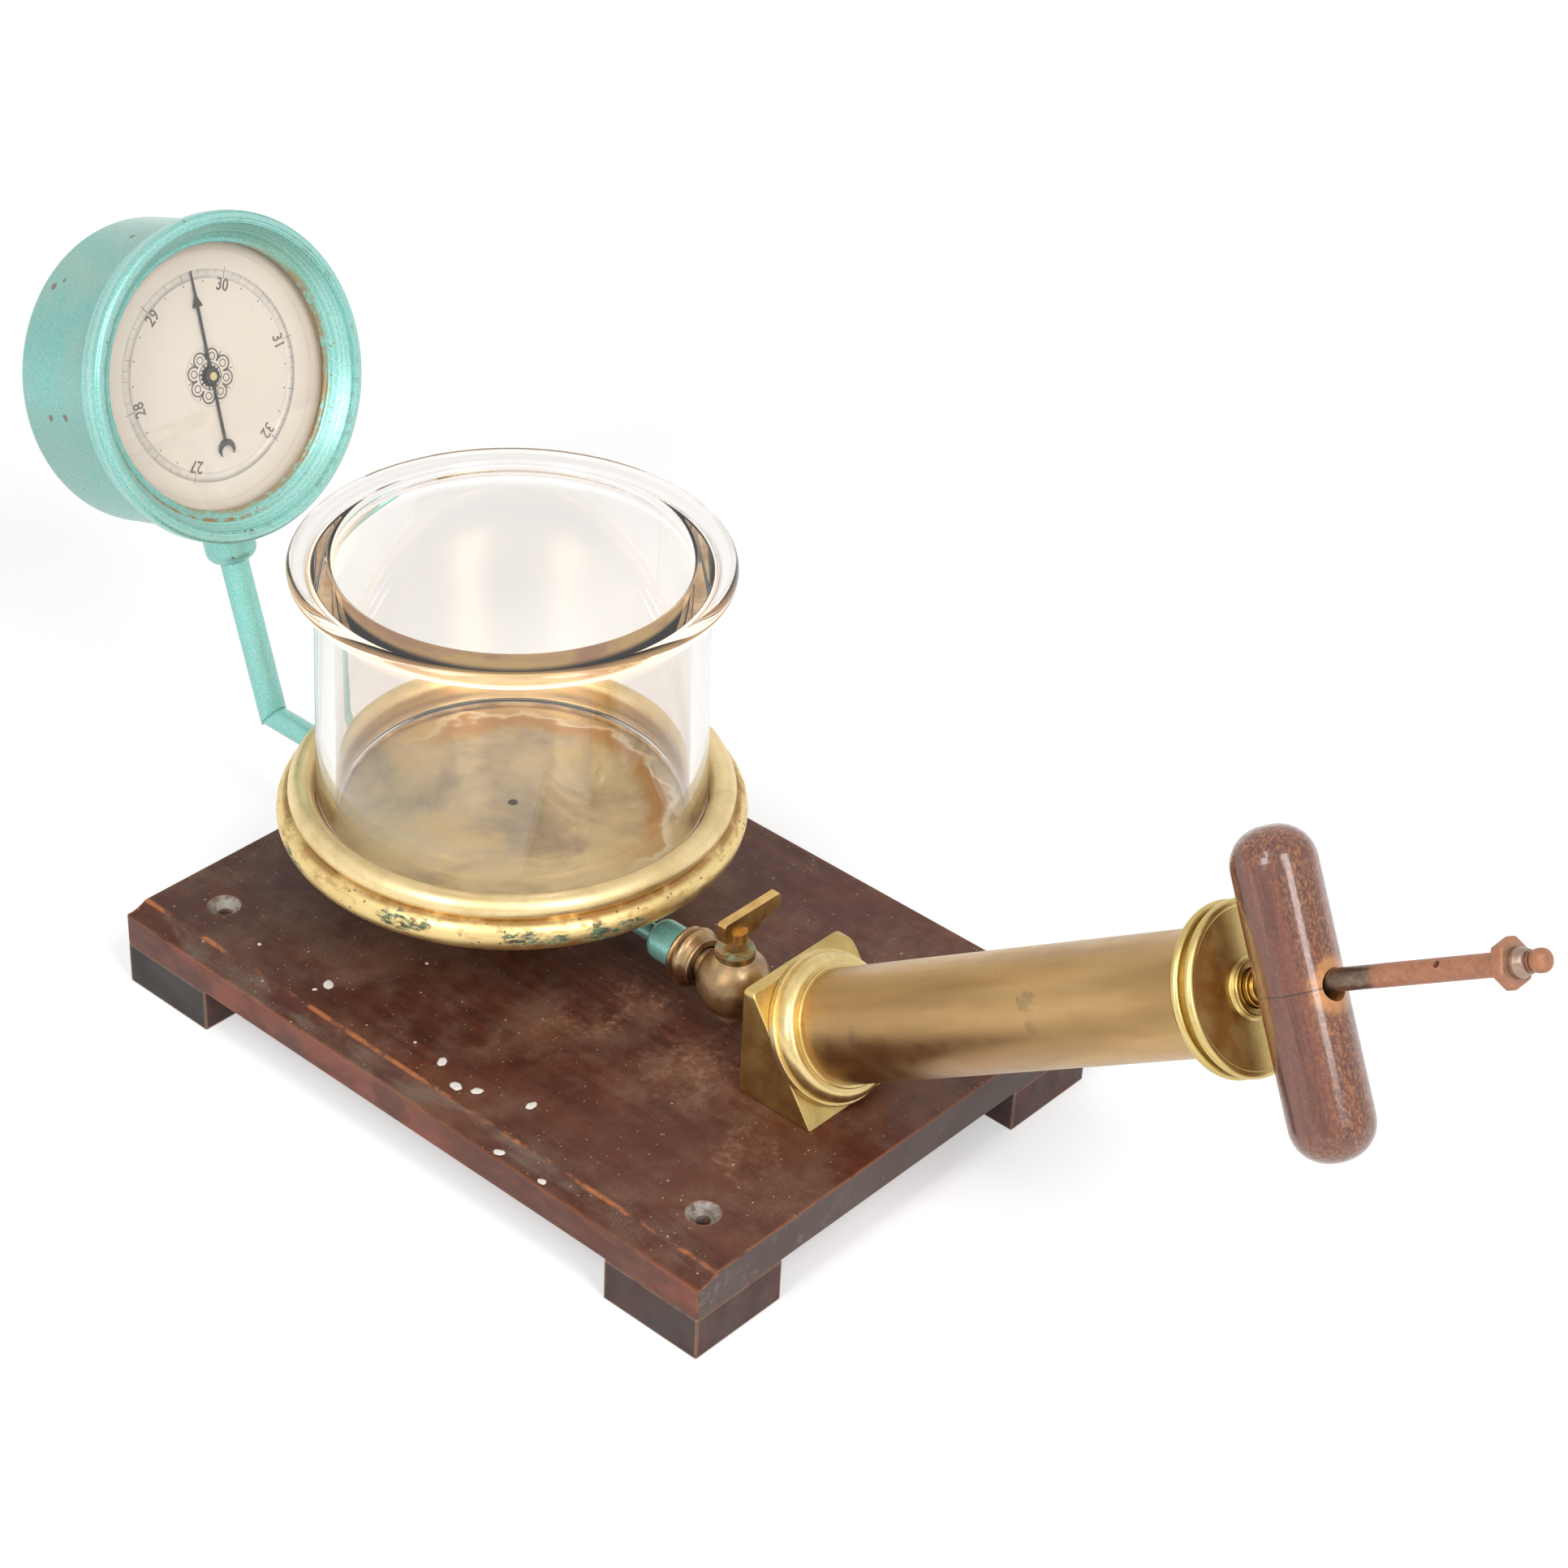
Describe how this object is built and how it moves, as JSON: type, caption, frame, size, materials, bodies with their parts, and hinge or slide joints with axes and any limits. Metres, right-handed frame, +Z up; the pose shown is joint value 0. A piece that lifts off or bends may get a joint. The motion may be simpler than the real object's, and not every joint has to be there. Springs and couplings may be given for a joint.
{
  "type": "barometer with bell jar",
  "caption": "Aneroid barometer on a pipe beside an open flanged glass receiver on a pump plate, with a stopcock and a sloping hand air pump, on a wooden board with feet.",
  "frame": {"origin": "middle of the board in plan, level with the underside of the feet, on the axis of the bench hole pattern", "axes": "+X along the board from the gauge to the pump handle, +Y away from the coved edge, +Z up"},
  "size_m": [0.6515, 0.214, 0.2582],
  "materials": {
    "board_wood": "worn dark varnish",
    "foot_wood": "dark stain",
    "handle_wood": "gloss varnish",
    "steel": "satin",
    "rusty_steel": "rusted",
    "plate_brass": "lacquered and aged",
    "dull_brass": "tarnished",
    "key_brass": "satin",
    "movement_brass": "satin",
    "barrel_brass": "tarnished",
    "teal_paint": "hammered metallic gloss",
    "clear_glass": "polished",
    "dial_face": "matt",
    "black_paint": "satin",
    "leather": "oiled",
    "rubber": "matt"
  },
  "bodies": {
    "base": {"baseboard": "board_wood", "foot_front_left": "foot_wood", "foot_front_right": "foot_wood", "foot_back_left": "foot_wood", "foot_back_right": "foot_wood", "foot_screws": "steel", "pillar": "dull_brass", "pillar_screws": "steel", "pillar_washer": "leather", "pump_plate": "plate_brass", "jar_seal": "rubber", "gauge_pipe": "teal_paint", "gauge_socket": "teal_paint", "gauge_case": "teal_paint", "bezel": "teal_paint", "dial_glass": "clear_glass", "glass_gasket": "rubber", "glass_spacer": "dull_brass", "dial_plate": "dial_face", "movement_plate": "movement_brass", "movement_screws": "steel", "aneroid_capsule": "movement_brass", "mainspring": "steel", "lever_bracket": "movement_brass", "movement_bridge": "movement_brass", "hairspring": "steel", "pump_pipe": "teal_paint", "pipe_nipple": "teal_paint", "union_collar": "dull_brass", "stopcock_body": "dull_brass", "key_washer": "leather", "wedge_block": "plate_brass", "wedge_screws": "steel", "barrel_gasket": "leather", "barrel_collar": "barrel_brass", "barrel": "barrel_brass", "end_cap": "plate_brass", "gland_packing": "rubber", "gland_nut": "dull_brass", "foot_valve": "leather", "foot_valve_screw": "steel"},
    "jar": {"receiver_jar": "clear_glass"},
    "key": {"stopcock_plug": "dull_brass", "key_lever": "key_brass", "key_nut": "dull_brass"},
    "handle": {"handle": "handle_wood"},
    "rod": {"piston_rod": "rusty_steel", "piston_front_disc": "movement_brass", "leather_cup": "leather", "piston_back_disc": "movement_brass", "piston_valve": "leather", "piston_nut": "steel", "rod_nut": "rusty_steel"},
    "pointer": {"pointer": "black_paint", "pointer_arbor": "movement_brass"},
    "chain": {"movement_chain": "steel"},
    "rocker": {"rocking_shaft": "steel"},
    "link": {"link_rod": "steel"},
    "lever": {"main_lever": "steel"}
  },
  "joints": [
    {"name": "jar_lift", "type": "slide", "parent": "base", "child": "jar", "axis": [0, 0, 1], "range_m": [0, 0.12]},
    {"name": "key_turn", "type": "hinge", "parent": "base", "child": "key", "pos_m": [0.061, 0.005, 0.054], "axis": [0, 0, 1], "continuous": true},
    {"name": "handle_stroke", "type": "slide", "parent": "base", "child": "handle", "axis": [0.8358, 0, 0.549], "range_m": [0, 0.115]},
    {"name": "rod_slide", "type": "slide", "parent": "handle", "child": "rod", "axis": [0.8358, 0, 0.549], "range_m": [-0.056, 0]},
    {"name": "pointer_turn", "type": "hinge", "parent": "base", "child": "pointer", "pos_m": [-0.23486, 0.005, 0.18887], "axis": [0.9542, 0, 0.299], "range_deg": [-143, 155]},
    {"name": "chain_pull", "type": "slide", "parent": "base", "child": "chain", "axis": [0, 1, 0], "range_m": [-0.0027, 0.0029]},
    {"name": "rocker_turn", "type": "hinge", "parent": "base", "child": "rocker", "pos_m": [-0.23581, 0.021, 0.18857], "axis": [-0.299, 0, 0.9542], "range_deg": [-20.5, 22.1]},
    {"name": "link_rise", "type": "slide", "parent": "base", "child": "link", "axis": [0.9542, 0, 0.299], "range_m": [-0.00215, 0.00232]},
    {"name": "lever_turn", "type": "hinge", "parent": "base", "child": "lever", "pos_m": [-0.23114, 0.005, 0.15859], "axis": [0, 1, 0], "range_deg": [-2.12, 2.3]}
  ],
  "couplings": [
    {"joint": "chain_pull", "follows": "pointer_turn", "m_per_rad": 0.00104},
    {"joint": "rocker_turn", "follows": "pointer_turn", "ratio": 0.13867},
    {"joint": "link_rise", "follows": "pointer_turn", "m_per_rad": 0.000832},
    {"joint": "lever_turn", "follows": "pointer_turn", "ratio": 0.014345}
  ]
}
